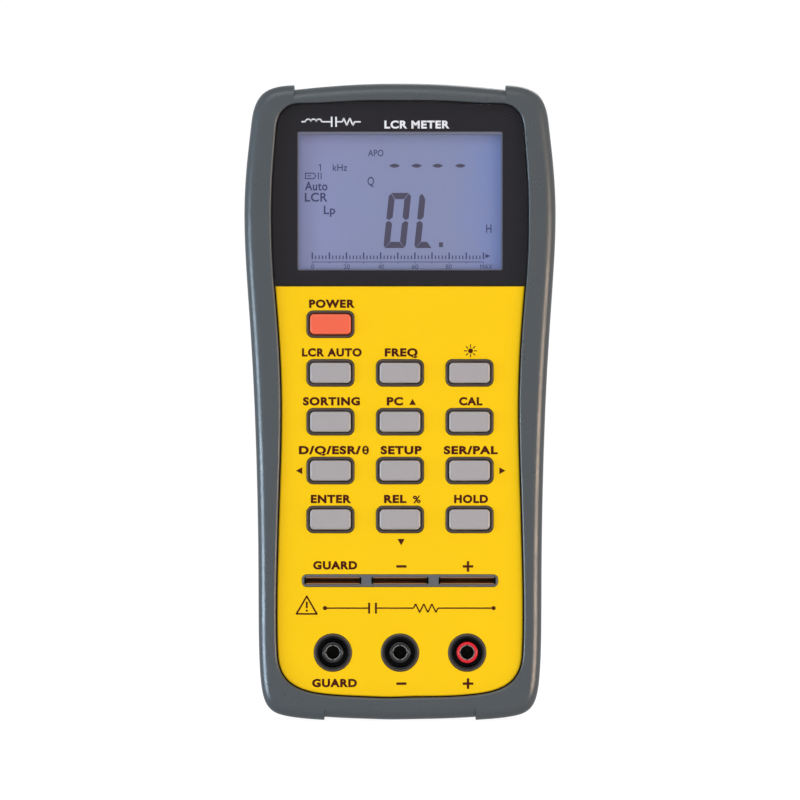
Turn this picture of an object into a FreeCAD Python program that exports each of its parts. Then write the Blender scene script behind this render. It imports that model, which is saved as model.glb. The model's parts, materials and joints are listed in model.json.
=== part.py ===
"""Handheld LCR meter, standing upright.

Frame: +X to the right of the face, +Y from the face to the back, +Z up along the body.
The origin is under the middle of the lower end, and the face looks along -Y. Millimetres.
"""
import FreeCAD
import Part
import math
import os

V = FreeCAD.Vector

# ---------------------------------------------------------------- driving dimensions
RIM_Y = -25.0            # crest of the soft rim, the frontmost plane
BACK_Y = 25.0            # back face of the rear case
PARTING_Y = 0.0          # where front case and rear case meet
BUMPER_END_Y = 12.0      # how far back the soft rim reaches

# Half outlines, (x, z) from the bottom centre up the right side to the top centre.
BODY_OUTLINE = [
    (0.0, 0.2), (10.5, 0.4), (21.5, 0.9), (30.0, 1.8), (35.2, 3.2), (38.4, 5.7), (40.2, 9.4),
    (41.2, 15.0), (41.75, 24.0), (41.85, 40.0), (42.2, 66.0), (43.05, 93.0), (44.3, 116.0),
    (45.6, 136.0), (46.0, 151.0), (45.2, 165.0), (43.8, 175.5), (42.0, 181.2), (38.6, 184.6),
    (33.5, 185.9), (24.0, 186.9), (12.0, 187.75), (0.0, 188.0),
]
# The same with the four corner guards; its two ends are cut back to the body between the guards.
GUARD_OUTLINE = [
    (0.0, -0.6), (10.5, -0.4), (22.4, 0.05), (29.0, 0.55), (34.0, 1.3), (37.3, 2.5), (39.3, 4.5),
    (40.6, 8.0), (41.35, 14.0), (41.75, 24.0), (41.85, 40.0), (42.2, 66.0), (43.05, 93.0), (44.3, 116.0),
    (45.6, 136.0), (46.0, 151.0), (45.2, 165.0), (44.1, 175.0), (42.8, 181.5), (40.5, 185.0),
    (36.2, 187.0), (31.3, 187.55), (24.0, 188.0), (12.0, 188.5), (0.0, 188.8),
]
PANEL_OUTLINE = [
    (0.0, 6.7), (11.5, 6.9), (22.4, 7.6), (28.6, 8.9), (33.0, 11.4), (35.6, 15.5), (36.4, 21.0),
    (36.6, 31.0), (36.4, 46.0), (35.9, 64.0), (35.4, 80.0), (35.25, 94.0), (35.8, 110.0),
    (36.9, 125.0), (37.7, 136.0), (38.0, 148.0), (37.6, 162.0), (36.7, 173.5), (35.6, 178.6),
    (32.9, 181.3), (27.0, 182.1), (14.0, 182.75), (0.0, 182.9),
]

# Walls and the layers of the face, front to back.
BUMPER_WALL = 2.3
RIM_RADIUS = 3.2         # rounding of the rim's outer edge
RIM_SECTIONS = [(0.35, RIM_Y), (0.05, -18.5), (0.0, -9.0), (0.0, 3.5), (0.9, BUMPER_END_Y)]   # (inset, y)
CASE_WALL = 2.3
FIT_GAP = 0.1
GUARD_TOP_X = 31.3       # inner ends of the corner guards
GUARD_BOTTOM_X = 22.4
LENS_Y = -23.7
PANEL_Y = -23.6
MASK_Y = -22.2
SEAT_Y = -21.9           # raised front seat of the case, under panel and lens
SHOULDER_Y = -21.4       # case shoulder under the rim
WALL_BACK_Y = -19.6      # inner side of the case's front wall
LENS_BOTTOM_Z = 128.2

# Display.
WINDOW = {"x": 0.0, "z": 153.25, "width": 60.5, "height": 40.9}
GLASS_Y = -19.4
GLASS_THICKNESS = 2.0
GLASS_WIDTH = 66.0
GLASS_Z = (129.6, 174.6)

# Keys: three columns, five rows; the top row holds the power key only.
COLUMN_X = (-20.5, 0.0, 20.5)
KEY_ROW_Z = (116.9, 102.55, 88.15, 73.75, 59.35)
KEY_NAMES = (
    ("key_power", None, None),
    ("key_auto", "key_frequency", "key_light"),
    ("key_sorting", "key_link", "key_calibrate"),
    ("key_quality", "key_setup", "key_series"),
    ("key_enter", "key_relative", "key_hold"),
)
KEY_WIDTH = 12.0
KEY_HEIGHT = 5.95
KEY_RADIUS = 1.2
KEY_TOP_Y = -24.9
KEY_HOLE_GAP = 0.4
KEY_FLANGE_Y = -19.5
KEY_BACK_Y = -18.4
COLLAR_Y = -23.78
COLLAR_WALL = 0.62

# Test slots.
SLOT_Z = 41.3
SLOT_BAR_WIDTH = 57.7
SLOT_BAR_HEIGHT = 3.6
SLOT_PITCH = 19.8
SLOT_WIDTH = 16.9
SLOT_HEIGHT = 2.3
SLOT_NAMES = ("guard", "minus", "plus")

# Jacks for 4 mm plugs.
JACK_Z = 20.1
JACK_COLLAR_R = 5.6
JACK_HOLE_R = 5.05
SHROUD_OUTER_R = 5.0
SHROUD_INNER_R = 4.5
SLEEVE_OUTER_R = 3.15
SLEEVE_INNER_R = 2.35
SLEEVE_LIP_R = 2.25      # front lip that hides the end of the contact
SLEEVE_FRONT_Y = -23.1
CONTACT_FRONT_Y = -22.2
CONTACT_OUTER_R = 2.3
CONTACT_INNER_R = 2.0
JACK_FLOOR_Y = -7.5

# Board.
BOARD_FRONT_Y = -14.6
BOARD_BACK_Y = -13.0
BOARD_Z = (27.5, 182.0)

# Screws.
CASE_SCREWS = [(-30.0, 178.6), (30.0, 178.6), (-26.0, 12.0), (26.0, 12.0)]
BOARD_SCREWS = [(-33.0, 50.0), (33.0, 50.0), (-34.0, 122.0), (34.0, 122.0)]
CASE_SCREW_R = 1.2
CASE_HEAD_R = 2.25
CASE_HEAD_Y = 8.0        # seat of the case screws' heads

# Back: tilt stand and battery bay.
STAND_X = 28.9
STAND_Z = (60.5, 148.5)
STAND_Y = (22.4, 24.8)
HINGE_Y = 23.1
HINGE_R = 1.7
HINGE_PIN_R = 1.2
HINGE_PIN_LENGTH = 1.8
RECESS_X = 29.2
RECESS_Z = (59.8, 152.5)
RECESS_Y = 21.1
DOOR_X = 28.6
DOOR_Z = (16.0, 54.0)
DOOR_Y = 23.0
DOOR_SCREWS = [(-22.0, 51.2), (22.0, 51.2)]
BAY_X = 27.2
BAY_Z = (18.0, 47.5)
BAY_Y = 4.0
BATTERY = {"x": (-26.8, 19.6), "y": (4.6, 22.1), "z": (19.5, 46.0)}

# Side and end features.
SOCKET_Y = -7.5
SOCKET_Z = 112.0
LINK_Y = -9.5
LINK_HALF_X = 7.5
LINK_HALF_Y = 2.6


# ---------------------------------------------------------------- helpers
def closed_outline(half):
    """Close a right-hand half outline with its mirror image."""
    return half + [(-x, z) for x, z in reversed(half[1:-1])]


def outline_wire(half, inset, y):
    """Smooth closed curve at depth y, every point moved inwards by inset."""
    points = closed_outline(half)
    moved = []
    for index, (x, z) in enumerate(points):
        before = points[index - 1]
        after = points[(index + 1) % len(points)]
        along = (after[0] - before[0], after[1] - before[1])
        size = math.hypot(*along)
        moved.append(V(x - inset * along[1] / size, y, z + inset * along[0] / size))
    curve = Part.BSplineCurve()
    curve.interpolate(Points=moved, PeriodicFlag=True)
    return Part.Wire(curve.toShape())


def prism(half, inset, y0, y1):
    """Straight solid of an outline between two depths."""
    return Part.Face(outline_wire(half, inset, y0)).extrude(V(0, y1 - y0, 0))


def loft(half, sections, ruled=False):
    """Solid through (inset, y) sections of one outline."""
    wires = [outline_wire(half, inset, y) for inset, y in sections]
    return Part.makeLoft(wires, True, ruled)


def box(x, y, z):
    """Box from three (low, high) pairs."""
    return Part.makeBox(x[1] - x[0], y[1] - y[0], z[1] - z[0], V(x[0], y[0], z[0]))


def rod(x, z, radius, y0, y1):
    """Round solid along Y."""
    return Part.makeCylinder(radius, y1 - y0, V(x, y0, z), V(0, 1, 0))


def tube(x, z, outer, inner, y0, y1):
    """Hollow round solid along Y."""
    return rod(x, z, outer, y0, y1).cut(rod(x, z, inner, y0 - 1, y1 + 1))


def rounded_block(x, z, width, height, radius, y0, y1):
    """Block along Y with round corners."""
    right, top = width / 2 - radius, height / 2 - radius
    corner = radius * math.sqrt(0.5)
    edges = []
    signs = [(1, 1), (-1, 1), (-1, -1), (1, -1)]
    starts = [(right + radius, top), (-right, top + radius), (-right - radius, -top), (right, -top - radius)]
    ends = [(right, top + radius), (-right - radius, top), (-right, -top - radius), (right + radius, -top)]
    for index, (sx, sz) in enumerate(signs):
        start, end = starts[index], ends[index]
        middle = (sx * (right + corner), sz * (top + corner))
        arc = [V(x + px, y0, z + pz) for px, pz in (start, middle, end)]
        edges.append(Part.Arc(*arc).toShape())
        following = starts[(index + 1) % 4]
        if math.hypot(end[0] - following[0], end[1] - following[1]) > 1e-6:
            line_end = V(x + following[0], y0, z + following[1])
            edges.append(Part.makeLine(arc[2], line_end))
    return Part.Face(Part.Wire(edges)).extrude(V(0, y1 - y0, 0))


def edges_at(solid, y, smallest=0.0):
    """Edges that lie wholly at depth y and are longer than smallest."""
    found = []
    for edge in solid.Edges:
        bounds = edge.BoundBox
        if abs(bounds.YMin - y) < 0.02 and abs(bounds.YMax - y) < 0.02 and edge.Length > smallest:
            found.append(edge)
    return found


def rounded_at(solid, y, radius, smallest=0.0):
    """Round every edge at depth y."""
    return solid.makeFillet(radius, edges_at(solid, y, smallest))


def keys():
    """Name and place of every key."""
    for row, z in zip(KEY_NAMES, KEY_ROW_Z):
        for name, x in zip(row, COLUMN_X):
            if name:
                yield name, x, z


def jacks():
    """Name and x of every jack and slot."""
    return zip(SLOT_NAMES, (-SLOT_PITCH, 0.0, SLOT_PITCH))


# ---------------------------------------------------------------- housing
def rim_body(outline):
    """Solid block of the rim before it is hollowed, with its front edge rounded."""
    block = loft(outline, RIM_SECTIONS)
    return rounded_at(block, RIM_Y, RIM_RADIUS)


def bumper():
    """Soft rim: a rounded frame round the face, a wall down the sides and a guard at each corner."""
    body = rim_body(BODY_OUTLINE)
    between_guards = [
        box((-GUARD_TOP_X, GUARD_TOP_X), (-30, 30), (180, 200)).cut(body),
        box((-GUARD_BOTTOM_X, GUARD_BOTTOM_X), (-30, 30), (-10, 8)).cut(body),
    ]
    outer = rounded_at(rim_body(GUARD_OUTLINE), BUMPER_END_Y, 0.5).cut(between_guards)
    opening = prism(PANEL_OUTLINE, 0.0, RIM_Y - 1, SHOULDER_Y + 1)
    inside = prism(BODY_OUTLINE, BUMPER_WALL, SHOULDER_Y, BUMPER_END_Y + 1)
    rim = outer.cut([opening, inside])
    lip = [edge for edge in edges_at(rim, RIM_Y, 60.0) if edge.BoundBox.ZMin > 5.0]
    rim = rim.makeFillet(0.6, lip)
    socket = Part.makeCylinder(4.6, 20, V(35.0, SOCKET_Y, SOCKET_Z), V(1, 0, 0))
    link = box((-LINK_HALF_X, LINK_HALF_X), (LINK_Y - LINK_HALF_Y, LINK_Y + LINK_HALF_Y), (180, 195))
    return rim.cut([socket, link])


def front_case():
    """Front shell: walls, seat for panel and lens, collars, jack tubes and bosses."""
    inset = BUMPER_WALL + FIT_GAP
    shell = prism(BODY_OUTLINE, inset, SHOULDER_Y, PARTING_Y)
    seat = prism(PANEL_OUTLINE, FIT_GAP, SEAT_Y, SHOULDER_Y + 0.5)
    cavity = prism(BODY_OUTLINE, inset + CASE_WALL, WALL_BACK_Y, PARTING_Y + 1)
    shell = shell.fuse(seat).cut(cavity)
    additions = []
    removals = []
    hole_width = KEY_WIDTH + 2 * KEY_HOLE_GAP
    hole_height = KEY_HEIGHT + 2 * KEY_HOLE_GAP
    for _, x, z in keys():
        collar = rounded_block(x, z, hole_width + 2 * COLLAR_WALL, hole_height + 2 * COLLAR_WALL,
                               KEY_RADIUS + KEY_HOLE_GAP + 0.5, COLLAR_Y, SEAT_Y + 0.5)
        additions.append(rounded_at(collar, COLLAR_Y, 0.3))
        removals.append(rounded_block(x, z, hole_width, hole_height, KEY_RADIUS + KEY_HOLE_GAP, -30, -15))
    for _, x in jacks():
        collar = rod(x, JACK_Z, JACK_COLLAR_R, COLLAR_Y, -9.0)
        additions.append(rounded_at(collar, COLLAR_Y, 0.35))
        removals.append(rod(x, JACK_Z, JACK_HOLE_R, -30, -5))
    for x, z in CASE_SCREWS:
        additions.append(rod(x, z, 2.9, WALL_BACK_Y - 0.5, 1.8))
        removals.append(rod(x, z, CASE_SCREW_R + 0.03, -14.0, 3.0))
    for x, z in BOARD_SCREWS:
        additions.append(rod(x, z, 2.6, WALL_BACK_Y - 0.5, BOARD_FRONT_Y))
        removals.append(rod(x, z, 1.0, WALL_BACK_Y + 0.6, -10.0))
    width, height = WINDOW["width"] + 1.4, WINDOW["height"] + 1.0
    removals.append(rounded_block(0, WINDOW["z"], width, height, 1.0, -30, -15))
    removals.append(rounded_block(0, SLOT_Z, SLOT_BAR_WIDTH + 2 * FIT_GAP, SLOT_BAR_HEIGHT + 2 * FIT_GAP,
                                  1.5, -30, -15))
    removals.append(Part.makeCylinder(3.4, 20, V(35.0, SOCKET_Y, SOCKET_Z), V(1, 0, 0)))
    link_y = (LINK_Y - LINK_HALF_Y, LINK_Y + LINK_HALF_Y)
    removals.append(box((-LINK_HALF_X, LINK_HALF_X), link_y, (180, 195)))
    return shell.fuse(additions).cut(removals)


def face_panel():
    """Yellow sheet with rolled edges and every opening of the face."""
    sheet = prism(PANEL_OUTLINE, 0.4, PANEL_Y, SEAT_Y)
    sheet = sheet.cut(box((-60, 60), (-30, -10), (LENS_BOTTOM_Z - 0.15, 200)))
    sheet = rounded_at(sheet, PANEL_Y, 0.4)
    removals = []
    width = KEY_WIDTH + 2 * (KEY_HOLE_GAP + COLLAR_WALL + FIT_GAP)
    height = KEY_HEIGHT + 2 * (KEY_HOLE_GAP + COLLAR_WALL + FIT_GAP)
    for _, x, z in keys():
        removals.append(rounded_block(x, z, width, height, KEY_RADIUS + 0.9, -30, -15))
    for _, x in jacks():
        removals.append(rod(x, JACK_Z, JACK_COLLAR_R + FIT_GAP, -30, -15))
    removals.append(rounded_block(0, SLOT_Z, SLOT_BAR_WIDTH + 2 * FIT_GAP, SLOT_BAR_HEIGHT + 2 * FIT_GAP,
                                  1.5, -30, -15))
    return sheet.cut(removals)


def rear_case():
    """Rear shell with the stand's recess, the battery bay and the screw tubes."""
    inset = BUMPER_WALL + FIT_GAP
    straight = prism(BODY_OUTLINE, inset, PARTING_Y, BUMPER_END_Y)
    back = loft(BODY_OUTLINE, [(inset, BUMPER_END_Y), (3.6, BACK_Y)], True)
    back = rounded_at(back, BACK_Y, 2.5)
    cavity = prism(BODY_OUTLINE, inset + CASE_WALL, PARTING_Y - 1, BUMPER_END_Y)
    hollow = loft(BODY_OUTLINE, [(inset + CASE_WALL, BUMPER_END_Y), (5.9, BACK_Y - 2.2)], True)
    shell = straight.fuse(back).cut([cavity, hollow])
    recess_wall = 2.3
    additions = [
        box((-RECESS_X - recess_wall, RECESS_X + recess_wall), (RECESS_Y - 1.8, BACK_Y - 1.0),
            (RECESS_Z[0] - 1.8, RECESS_Z[1] + 1.8)),
        box((-BAY_X - 1.5, BAY_X + 1.5), (BAY_Y - 1.5, BACK_Y - 1.0), (BAY_Z[0] - 1.5, BAY_Z[1] + 1.5)),
        box((-DOOR_X - 1.5, DOOR_X + 1.5), (DOOR_Y - 1.8, BACK_Y - 1.0), (DOOR_Z[0] - 1.5, DOOR_Z[1] + 1.5)),
    ]
    removals = [
        rounded_block(0, sum(RECESS_Z) / 2, 2 * RECESS_X, RECESS_Z[1] - RECESS_Z[0], 2.0, RECESS_Y, 30),
        rounded_block(0, RECESS_Z[0], 17.0, 6.4, 3.1, 22.9, 30),
        box((-BAY_X, BAY_X), (BAY_Y, 30), BAY_Z),
        rounded_block(0, sum(DOOR_Z) / 2, 2 * DOOR_X + 0.3, DOOR_Z[1] - DOOR_Z[0] + 0.3, 1.6, DOOR_Y, 30),
        box((BAY_X - 1, BAY_X + 3), (9.0, 17.0), (28.0, 37.0)),
        Part.makeCylinder(HINGE_PIN_R + 0.07, 2 * (RECESS_X + HINGE_PIN_LENGTH + 0.1),
                          V(-RECESS_X - HINGE_PIN_LENGTH - 0.1, HINGE_Y, STAND_Z[1]), V(1, 0, 0)),
    ]
    for x, z in CASE_SCREWS:
        additions.append(rod(x, z, 3.6, 1.9, BACK_Y - 1.0))
        removals.append(rod(x, z, 2.5, CASE_HEAD_Y, 30))
        removals.append(rod(x, z, 1.4, 0, 20))
    for x, z in DOOR_SCREWS:
        additions.append(rod(x, z, 2.4, 15.0, DOOR_Y - 0.1))
        removals.append(rod(x, z, 1.13, 16.0, 30))
    return shell.fuse(additions).cut(removals)


# ---------------------------------------------------------------- display
def display_lens():
    """Clear window that fills the head of the face."""
    sheet = prism(PANEL_OUTLINE, 0.12, LENS_Y, MASK_Y - 0.03)
    sheet = sheet.cut(box((-60, 60), (-30, -10), (0, LENS_BOTTOM_Z)))
    return rounded_at(sheet, LENS_Y, 0.35)


def display_mask():
    """Black print on the lens's back, open over the display."""
    sheet = prism(PANEL_OUTLINE, 0.3, MASK_Y, SEAT_Y)
    sheet = sheet.cut(box((-60, 60), (-30, -10), (0, LENS_BOTTOM_Z + 0.1)))
    window = rounded_block(0, WINDOW["z"], WINDOW["width"], WINDOW["height"], 0.6, -30, -15)
    return sheet.cut(window)


def lcd_glass():
    """Two glass layers with a contact ledge along the lower edge."""
    width = GLASS_WIDTH / 2
    middle = GLASS_Y + GLASS_THICKNESS / 2
    front = box((-width, width), (GLASS_Y, middle), GLASS_Z)
    rear = box((-width, width), (middle, GLASS_Y + GLASS_THICKNESS), (GLASS_Z[0] + 2.6, GLASS_Z[1]))
    return front.fuse(rear).removeSplitter()


def backlight_plate():
    """Light plate behind the glass."""
    return box((-31.5, 31.5), (-17.2, -15.2), (133.4, 174.2))


def zebra_strip():
    """Conductive rubber strip between the glass's ledge and the board."""
    return box((-30.5, 30.5), (GLASS_Y + GLASS_THICKNESS / 2, BOARD_FRONT_Y), (130.2, 132.0))


def lcd_frame():
    """Plastic frame that holds the glass and the light plate on the board."""
    outer = box((-33.9, 33.9), (GLASS_Y, BOARD_FRONT_Y), (128.6, 175.5))
    glass_space = box((-33.1, 33.1), (GLASS_Y - 1, -17.3), (129.5, 174.7))
    plate_space = box((-31.7, 31.7), (-17.4, -14.0), (129.9, 174.4))
    return outer.cut([glass_space, plate_space])


# ---------------------------------------------------------------- keys
def key(x, z):
    """Key cap with the flange that holds it behind the front wall."""
    cap = rounded_block(x, z, KEY_WIDTH, KEY_HEIGHT, KEY_RADIUS, KEY_TOP_Y, KEY_BACK_Y)
    cap = rounded_at(cap, KEY_TOP_Y, 0.55)
    flange = rounded_block(x, z, KEY_WIDTH + 1.7, KEY_HEIGHT + 1.7, KEY_RADIUS + 0.6,
                           KEY_FLANGE_Y, KEY_BACK_Y)
    return cap.fuse(flange).removeSplitter()


def keypad_mat():
    """Rubber mat with one hollow dome under each key."""
    base_y = BOARD_FRONT_Y - 1.0
    top_y = base_y - 1.7
    mat = box((-29.5, 29.5), (base_y, BOARD_FRONT_Y), (53.0, 123.0))
    domes = []
    hollows = []
    for _, x, z in keys():
        domes.append(Part.makeCone(3.6, 2.3, base_y - top_y + 0.2, V(x, base_y + 0.2, z), V(0, -1, 0)))
        hollows.append(Part.makeCone(2.9, 1.7, 2.2, V(x, BOARD_FRONT_Y + 0.001, z), V(0, -1, 0)))
    return mat.fuse(domes).cut(hollows)


def key_contact_pads():
    """Gold pad on the board under each dome."""
    return Part.makeCompound([rod(x, z, 2.0, BOARD_FRONT_Y - 0.15, BOARD_FRONT_Y) for _, x, z in keys()])


# ---------------------------------------------------------------- test slots and jacks
def slot_frame():
    """Bar with three slots that widen behind their lips."""
    bar = rounded_block(0, SLOT_Z, SLOT_BAR_WIDTH, SLOT_BAR_HEIGHT, 1.4, COLLAR_Y - 0.1, -15.4)
    bar = rounded_at(bar, COLLAR_Y - 0.1, 0.3)
    removals = []
    for _, x in jacks():
        removals.append(rounded_block(x, SLOT_Z, SLOT_WIDTH, SLOT_HEIGHT, 0.6, -30, -10))
        removals.append(rounded_block(x, SLOT_Z, SLOT_WIDTH, 2.9, 0.6, -22.0, -10))
    return bar.cut(removals)


def slot_contacts(x):
    """Two leaf springs that pinch a lead between them."""
    bend = [(-23.1, 0.8), (-20.2, 0.1), (-17.0, 1.0), (BOARD_FRONT_Y, 1.0)]
    leaves = []
    for side in (-1, 1):
        near = [V(x - 7.9, y, SLOT_Z + side * h) for y, h in bend]
        far = [V(x - 7.9, y, SLOT_Z + side * (h + 0.25)) for y, h in reversed(bend)]
        face = Part.Face(Part.makePolygon(near + far + near[:1]))
        leaves.append(face.extrude(V(15.8, 0, 0)))
    return Part.makeCompound(leaves)


def jack_shroud(x):
    """Black cup round the jack."""
    cup = tube(x, JACK_Z, SHROUD_OUTER_R, SHROUD_INNER_R, -22.7, JACK_FLOOR_Y)
    floor = tube(x, JACK_Z, SHROUD_OUTER_R, 1.3, JACK_FLOOR_Y, JACK_FLOOR_Y + 1.8)
    return cup.fuse(floor).removeSplitter()


def jack_sleeve(x):
    """Coloured insulating sleeve round the contact."""
    lip = tube(x, JACK_Z, SLEEVE_OUTER_R, SLEEVE_LIP_R, SLEEVE_FRONT_Y, CONTACT_FRONT_Y - 0.05)
    lip = rounded_at(lip, SLEEVE_FRONT_Y, 0.42)
    barrel = tube(x, JACK_Z, SLEEVE_OUTER_R, SLEEVE_INNER_R, CONTACT_FRONT_Y - 0.05, JACK_FLOOR_Y)
    return lip.fuse(barrel).removeSplitter()


def jack_contact(x):
    """Slit contact tube with its rear stud and the strip that reaches the board."""
    bore_end_y = JACK_FLOOR_Y - 0.8
    shell = tube(x, JACK_Z, CONTACT_OUTER_R, CONTACT_INNER_R, CONTACT_FRONT_Y, bore_end_y)
    slits = [
        box((x - 0.2, x + 0.2), (-23.0, -15.0), (JACK_Z - 3, JACK_Z + 3)),
        box((x - 3, x + 3), (-23.0, -15.0), (JACK_Z - 0.2, JACK_Z + 0.2)),
    ]
    end = rod(x, JACK_Z, CONTACT_OUTER_R, bore_end_y, JACK_FLOOR_Y)
    stud = rod(x, JACK_Z, 1.2, JACK_FLOOR_Y, -4.2)
    strip = box((x - 1.3, x + 1.3), (-5.0, -4.2), (JACK_Z, 31.0))
    leg = box((x - 1.3, x + 1.3), (BOARD_BACK_Y, -4.2), (30.2, 31.0))
    return shell.cut(slits).fuse([end, stud, strip, leg]).removeSplitter()


# ---------------------------------------------------------------- board and what it carries
def main_board():
    """Circuit board, notched round the case's bosses."""
    board = prism(BODY_OUTLINE, 6.2, BOARD_FRONT_Y, BOARD_BACK_Y)
    board = board.common(box((-60, 60), (-30, 10), BOARD_Z))
    removals = [rod(x, z, 3.3, -30, 10) for x, z in CASE_SCREWS]
    removals += [rod(x, z, 1.25, -30, 10) for x, z in BOARD_SCREWS]
    return board.cut(removals)


def flat_chip(x, z, side, leads):
    """Square chip with a row of leads on each side."""
    height = 1.4
    body = box((x - side / 2, x + side / 2), (BOARD_BACK_Y + 0.1, BOARD_BACK_Y + height),
               (z - side / 2, z + side / 2))
    pieces = []
    pitch = side * 0.9 / leads
    for index in range(leads):
        offset = (index - (leads - 1) / 2) * pitch
        half = pitch * 0.25
        along = (offset - half, offset + half)
        for sign in (-1, 1):
            out = sorted((sign * side / 2, sign * (side / 2 + 1.0)))
            y = (BOARD_BACK_Y, BOARD_BACK_Y + 0.3)
            pieces.append(box((x + along[0], x + along[1]), y, (z + out[0], z + out[1])))
            pieces.append(box((x + out[0], x + out[1]), y, (z + along[0], z + along[1])))
    return body.fuse(pieces)


def crystal():
    """Metal can of the clock crystal."""
    return rounded_block(-18.0, 98.0, 11.0, 4.6, 2.2, BOARD_BACK_Y, BOARD_BACK_Y + 3.6)


def capacitors():
    """Three electrolytic cans."""
    places = [(-26.0, 62.0), (-18.5, 62.0), (-26.0, 70.0)]
    cans = [rod(x, z, 3.0, BOARD_BACK_Y, BOARD_BACK_Y + 7.0) for x, z in places]
    return Part.makeCompound([rounded_at(can, BOARD_BACK_Y + 7.0, 0.5) for can in cans])


def range_resistors():
    """Row of precision resistors behind the input jacks."""
    return Part.makeCompound([
        box((x - 0.8, x + 0.8), (BOARD_BACK_Y, BOARD_BACK_Y + 0.7), (36.0, 39.2))
        for x in range(-15, 16, 6)
    ])


def small_components():
    """Grid of small parts between the chips."""
    places = [(x, z) for z in (104.0, 108.5, 146.0, 151.0) for x in range(-21, 22, 6)]
    return Part.makeCompound([
        box((x - 1.0, x + 1.0), (BOARD_BACK_Y, BOARD_BACK_Y + 0.6), (z - 0.6, z + 0.6)) for x, z in places
    ])


def buzzer():
    """Round sounder with its centre hole."""
    can = rod(18.0, 64.0, 6.0, BOARD_BACK_Y, BOARD_BACK_Y + 6.5)
    can = rounded_at(can, BOARD_BACK_Y + 6.5, 0.6)
    return can.cut(rod(18.0, 64.0, 1.0, BOARD_BACK_Y + 5.0, 0.0))


def screw(x, z, radius, head_radius, head_y, head_height, tip_y):
    """Pan-head screw driven from the back, with a cross recess."""
    head = rod(x, z, head_radius, head_y, head_y + head_height)
    head = rounded_at(head, head_y + head_height, head_height * 0.35)
    shank = rod(x, z, radius, tip_y, head_y)
    arm = head_radius * 0.62
    top = (head_y + head_height * 0.45, head_y + head_height + 1)
    cross = box((x - arm, x + arm), top, (z - 0.3, z + 0.3))
    cross = cross.fuse(box((x - 0.3, x + 0.3), top, (z - arm, z + arm)))
    return shank.fuse(head).cut(cross)


def case_screws():
    """Four long screws that join rear case to front case."""
    return Part.makeCompound([
        screw(x, z, CASE_SCREW_R, CASE_HEAD_R, CASE_HEAD_Y, 2.0, -12.0) for x, z in CASE_SCREWS
    ])


def board_screws():
    """Four short screws that hold the board on its posts."""
    return Part.makeCompound([
        screw(x, z, 0.97, 2.1, BOARD_BACK_Y, 1.4, WALL_BACK_Y + 1.2) for x, z in BOARD_SCREWS
    ])


def power_socket():
    """Barrel socket whose mouth faces the side wall."""
    body = box((24.5, 38.6), (BOARD_BACK_Y, -2.4), (SOCKET_Z - 4.5, SOCKET_Z + 4.5))
    bore = Part.makeCylinder(2.9, 10.5, V(38.6, SOCKET_Y, SOCKET_Z), V(-1, 0, 0))
    pin = Part.makeCylinder(1.0, 9.5, V(27.6, SOCKET_Y, SOCKET_Z), V(1, 0, 0))
    return body.cut(bore).fuse(pin)


def link_window():
    """Dark window in the top end for the optical link."""
    gap = FIT_GAP
    return box((-LINK_HALF_X + gap, LINK_HALF_X - gap),
               (LINK_Y - LINK_HALF_Y + gap, LINK_Y + LINK_HALF_Y - gap), (183.2, 186.9))


def link_diodes():
    """Two round diodes that look up through the window, with legs to the board."""
    diodes = []
    for x in (-4.0, 4.0):
        body = Part.makeCylinder(1.5, 4.0, V(x, LINK_Y, 176.5), V(0, 0, 1))
        dome = Part.makeSphere(1.5, V(x, LINK_Y, 180.5))
        wires = [(x + s - 0.2, x + s + 0.2) for s in (-0.8, 0.8)]
        legs = [box(wire, (LINK_Y - 0.2, LINK_Y + 0.2), (172.0, 176.6)) for wire in wires]
        feet = [box(wire, (BOARD_BACK_Y, LINK_Y + 0.2), (171.6, 172.0)) for wire in wires]
        diodes.append(body.fuse([dome] + legs + feet))
    return Part.makeCompound(diodes)


# ---------------------------------------------------------------- battery
def battery():
    """9 V block with its two terminals on one end."""
    low, high = BATTERY["x"]
    block = box((low, high), BATTERY["y"], BATTERY["z"])
    block = block.makeFillet(1.2, [edge for edge in block.Edges if edge.BoundBox.XLength > 40])
    y = sum(BATTERY["y"]) / 2
    z = sum(BATTERY["z"]) / 2
    stud = Part.makeCylinder(2.9, 2.1, V(high, y, z + 6.4), V(1, 0, 0))
    socket = Part.makeCylinder(4.0, 2.1, V(high, y, z - 6.4), V(1, 0, 0))
    return block.fuse([stud, socket])


def battery_snap():
    """Connector plate that closes over the terminals."""
    high = BATTERY["x"][1]
    y = sum(BATTERY["y"]) / 2
    z = sum(BATTERY["z"]) / 2
    plate = box((high + 0.1, high + 4.6), (y - 5.5, y + 5.5), (z - 12.5, z + 12.5))
    plate = plate.makeFillet(2.0, [edge for edge in plate.Edges if edge.BoundBox.XLength > 4])
    stud = Part.makeCylinder(3.0, 2.3, V(high, y, z + 6.4), V(1, 0, 0))
    socket = Part.makeCylinder(4.1, 2.3, V(high, y, z - 6.4), V(1, 0, 0))
    return plate.cut([stud, socket])


def rounded_route(points):
    """Straight runs joined by the largest tangent arcs they allow."""
    points = [V(*point) for point in points]
    edges = []
    start = points[0]
    for before, corner, after in zip(points, points[1:], points[2:]):
        back = (before - corner)
        forward = (after - corner)
        reach = 0.45 * min(back.Length, forward.Length)
        back.normalize()
        forward.normalize()
        turn = math.pi - back.getAngle(forward)
        radius = reach / math.tan(turn / 2)
        enter = corner + back * reach
        leave = corner + forward * reach
        inward = (back + forward).normalize()
        middle = corner + inward * (radius / math.cos(turn / 2) - radius)
        edges.append(Part.makeLine(start, enter))
        edges.append(Part.Arc(enter, middle, leave).toShape())
        start = leave
    edges.append(Part.makeLine(start, points[-1]))
    return Part.Wire(edges)


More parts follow.
